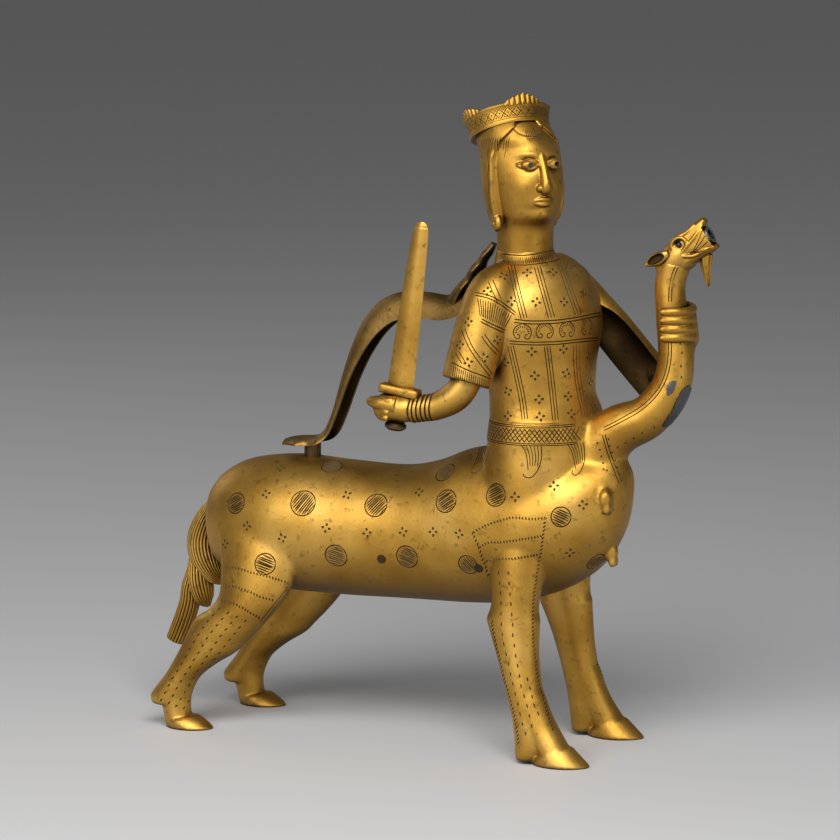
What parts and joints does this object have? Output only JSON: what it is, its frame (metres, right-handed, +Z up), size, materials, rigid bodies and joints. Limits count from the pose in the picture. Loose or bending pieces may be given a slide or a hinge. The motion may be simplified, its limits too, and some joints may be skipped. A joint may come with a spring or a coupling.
{
  "type": "centaur aquamanile",
  "caption": "Cast water vessel shaped as a crowned centaur that grips a dragon spout, with a sword, a strap handle and a hinged lid in the crown.",
  "frame": {"origin": "on the floor under the middle of the whole object's box", "axes": "+X is the way the horse faces, +Y is the centaur's left, +Z is up"},
  "size_m": [0.3297, 0.1112, 0.3652],
  "materials": {
    "bronze": "polished and worn, with brown patina in the recesses",
    "dark_bronze": "dark patina",
    "grey_solder": "dull grey",
    "dark_glass": "glossy"
  },
  "bodies": {
    "casting": {"horse_body": "bronze", "right_foreleg": "bronze", "left_foreleg": "bronze", "right_hind_leg": "bronze", "left_hind_leg": "bronze", "tail": "bronze", "torso": "bronze", "belt": "bronze", "head": "bronze", "eye_inlays": "dark_glass", "crown": "bronze", "filling_rim": "bronze", "lid_pin": "dark_bronze", "right_arm": "bronze", "sword_blade": "bronze", "sword_guard": "bronze", "sword_pommel": "dark_bronze", "left_arm": "bronze", "dragon_neck": "bronze", "dragon_head": "bronze", "dragon_ears": "bronze", "dragon_eyes": "dark_glass", "dragon_beard": "bronze", "spout_nozzle": "grey_solder", "dragon_paws": "bronze", "solder_patches": "grey_solder", "handle": "bronze", "handle_peg": "dark_bronze", "core_plugs": "dark_bronze"},
    "lid": {"lid": "bronze"}
  },
  "joints": [
    {"name": "lid_hinge", "type": "hinge", "parent": "casting", "child": "lid", "pos_m": [0.03442, 0.0172, 0.34315], "axis": [-0.6561, -0.7547, 0], "range_deg": [0, 95]}
  ]
}
